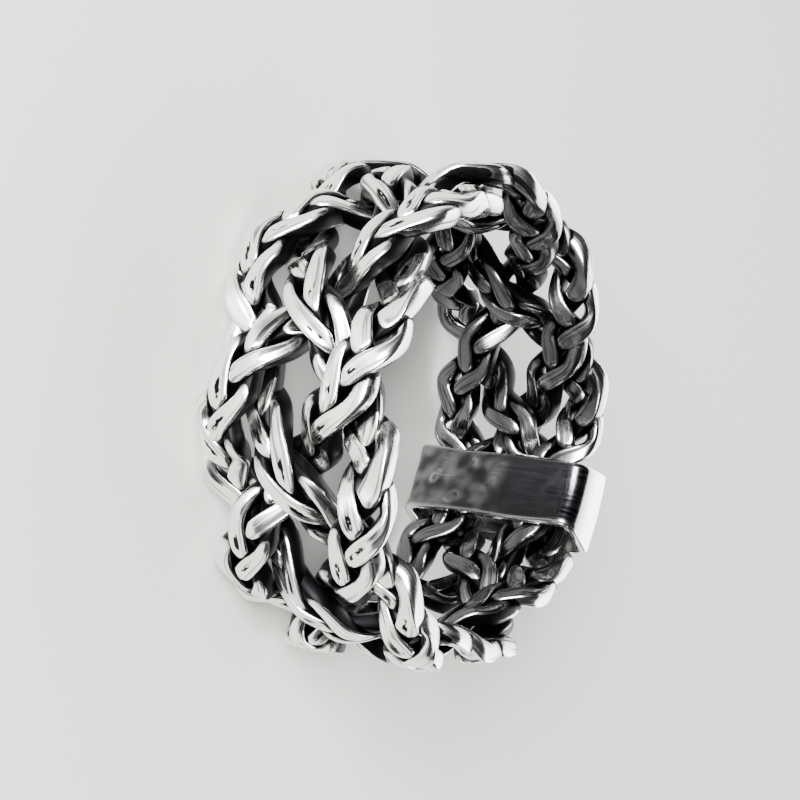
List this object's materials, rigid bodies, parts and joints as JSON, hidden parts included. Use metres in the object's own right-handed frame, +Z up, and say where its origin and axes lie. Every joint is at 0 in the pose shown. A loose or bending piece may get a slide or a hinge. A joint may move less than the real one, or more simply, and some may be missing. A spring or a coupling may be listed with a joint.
{
  "type": "braided band ring",
  "caption": "Finger ring whose open band is braided from plaited silver cords and closed by a plain flat sleeve at the back",
  "frame": {"origin": "Middle of the ring's footprint, on the surface that it lies on", "axes": "The ring lies on its side: +Z is up along the finger hole, -Y is the front of the band, opposite the join sleeve, and X completes the frame"},
  "size_m": [0.024, 0.0244, 0.0099],
  "materials": {
    "silver_wire": "polished silver wire with black oxide in the grooves",
    "silver_sheet": "polished silver sheet, softened by fine wear"
  },
  "bodies": {
    "root": {"strand_1": "silver_wire", "strand_2": "silver_wire", "strand_3": "silver_wire", "strand_4": "silver_wire", "join_sleeve": "silver_sheet"}
  },
  "joints": []
}
